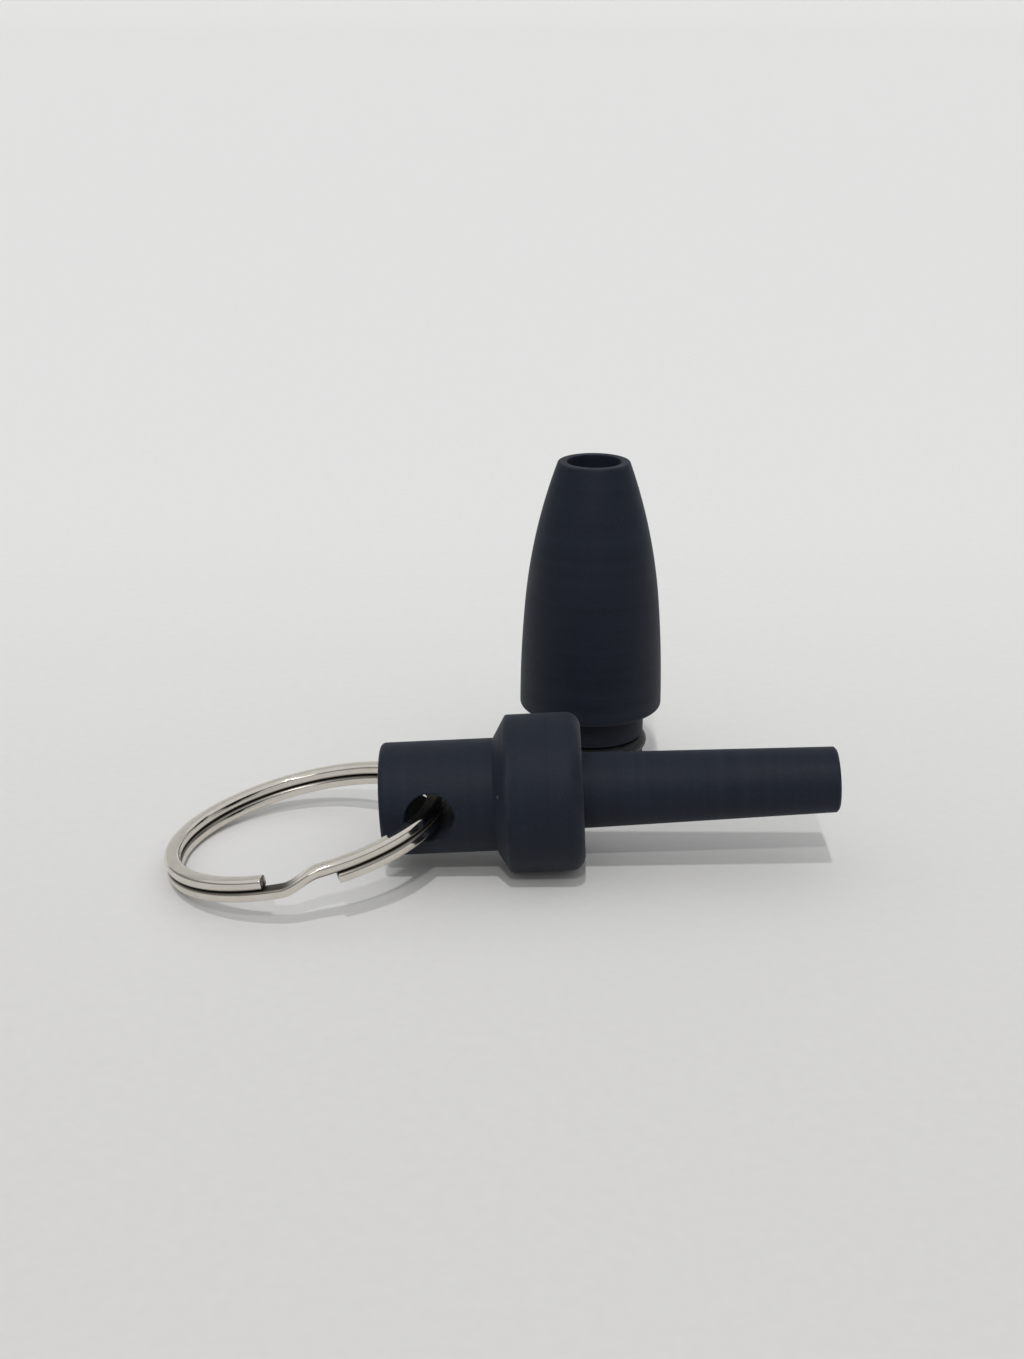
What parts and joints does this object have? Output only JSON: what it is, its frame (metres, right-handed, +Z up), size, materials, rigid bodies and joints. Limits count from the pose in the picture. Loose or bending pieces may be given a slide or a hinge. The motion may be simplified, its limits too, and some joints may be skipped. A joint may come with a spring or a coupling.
{
  "type": "training whistle",
  "caption": "Slim pipe whistle for dog training on a turned holder with a split ring, with a bullet-shaped push-on cover standing beside it.",
  "frame": {"origin": "centre of the cover's foot, on the table that the whole set stands on", "axes": "+X along the whistle towards its mouth end, +Y from the whistle to the cover, +Z up"},
  "size_m": [0.0597, 0.0421, 0.0317],
  "materials": {
    "holder_plastic": "turned black acetal, satin",
    "tube_plastic": "turned black acetal, satin",
    "plug_plastic": "turned black acetal, matte",
    "cover_plastic": "turned black acetal, satin",
    "seal_rubber": "black nitrile rubber, lightly greased",
    "ring_nickel": "bright nickel plate on spring steel"
  },
  "bodies": {
    "whistle": {"ring_holder": "holder_plastic", "blow_tube": "tube_plastic", "airway_plug": "plug_plastic", "pitch_stopper": "plug_plastic"},
    "cover": {"cover": "cover_plastic", "cover_seal_ring": "seal_rubber"},
    "ring": {"split_ring": "ring_nickel"}
  },
  "joints": [
    {"name": "cover_lift", "type": "slide", "parent": "whistle", "child": "cover", "axis": [0, 0, 1], "range_m": [0, 0.045]},
    {"name": "ring_swing", "type": "hinge", "parent": "whistle", "child": "ring", "pos_m": [-0.01461, -0.0222, 0.00662], "axis": [0, 1, 0], "range_deg": [-150, 168]}
  ]
}
